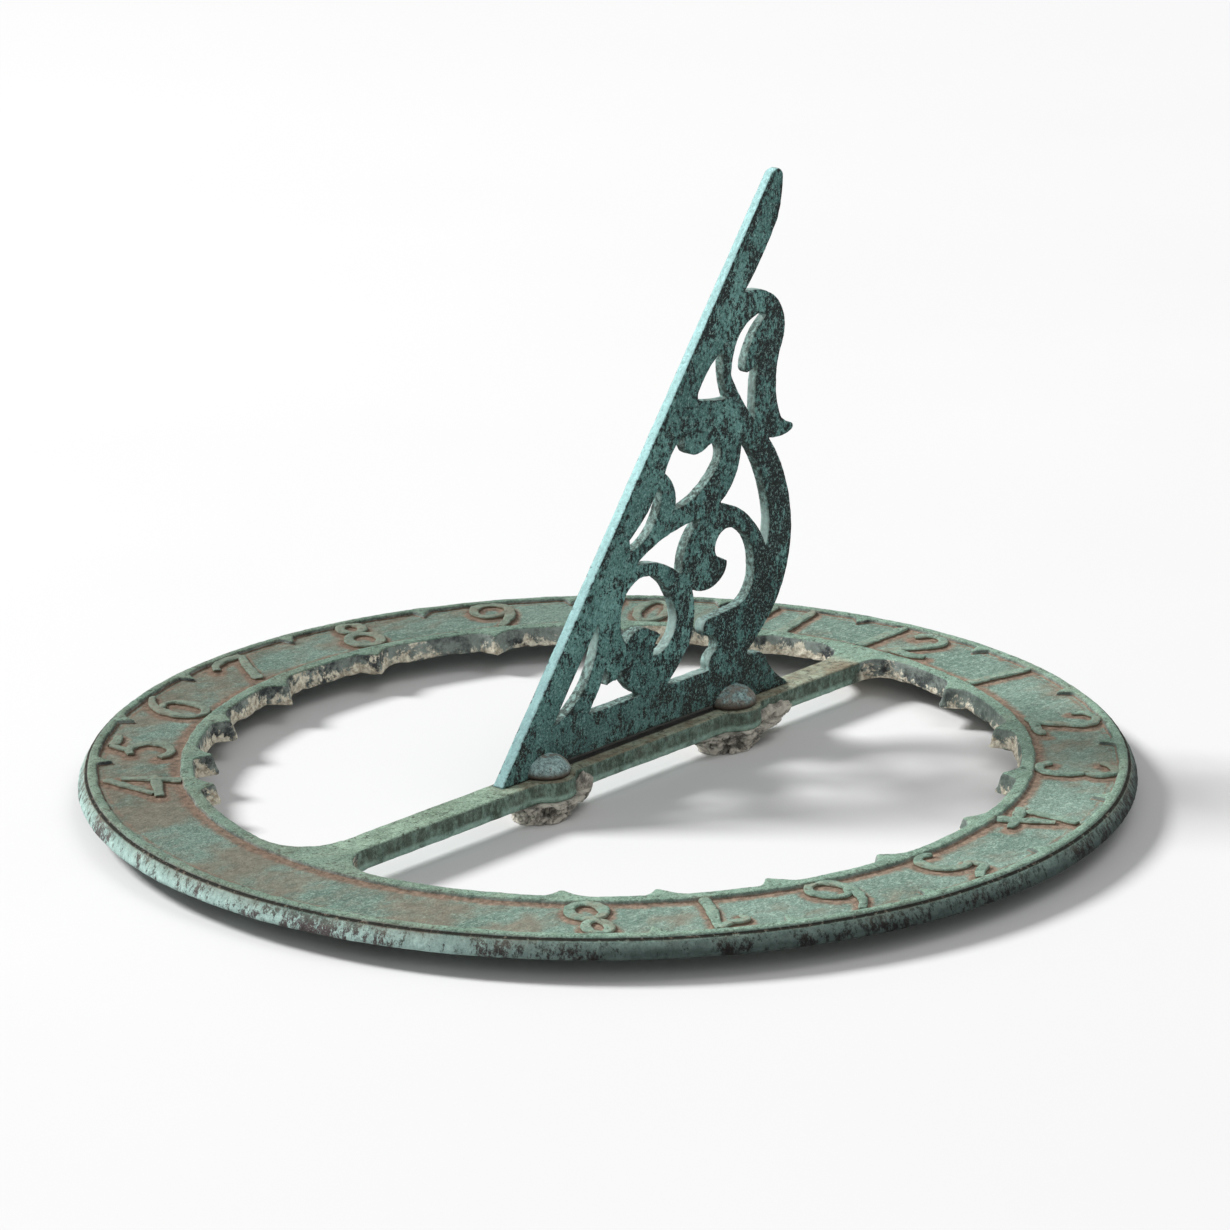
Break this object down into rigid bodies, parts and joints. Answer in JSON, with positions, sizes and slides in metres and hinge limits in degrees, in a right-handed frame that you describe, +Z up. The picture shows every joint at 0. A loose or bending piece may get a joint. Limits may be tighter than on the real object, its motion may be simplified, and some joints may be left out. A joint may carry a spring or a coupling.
{
  "type": "horizontal sundial",
  "caption": "Horizontal sundial with an open ring of verdigris bronze, relief hour numerals and a pierced scrollwork gnomon on a meridian bar, on two lumps of old bedding mortar.",
  "frame": {"origin": "on the ground plane, under the centre of the dial ring", "axes": "+X towards the dial's east, where the afternoon hours are; +Y towards the dial's north, the way the gnomon rises; +Z up, square to the dial"},
  "size_m": [0.4479, 0.448, 0.249],
  "materials": {
    "cast_bronze": "cast bronze with pale green verdigris",
    "dark_bronze": "cast bronze, mottled dark brown and blue green",
    "raw_bronze": "turned bronze, dulled",
    "mortar": "rough old lime mortar"
  },
  "bodies": {
    "root": {"dial_plate": "cast_bronze", "gnomon": "dark_bronze", "stud_front": "raw_bronze", "stud_rear": "raw_bronze", "washer_front": "raw_bronze", "washer_rear": "raw_bronze", "nut_front": "raw_bronze", "nut_rear": "raw_bronze", "bedding_front": "mortar", "bedding_rear": "mortar"}
  },
  "joints": []
}
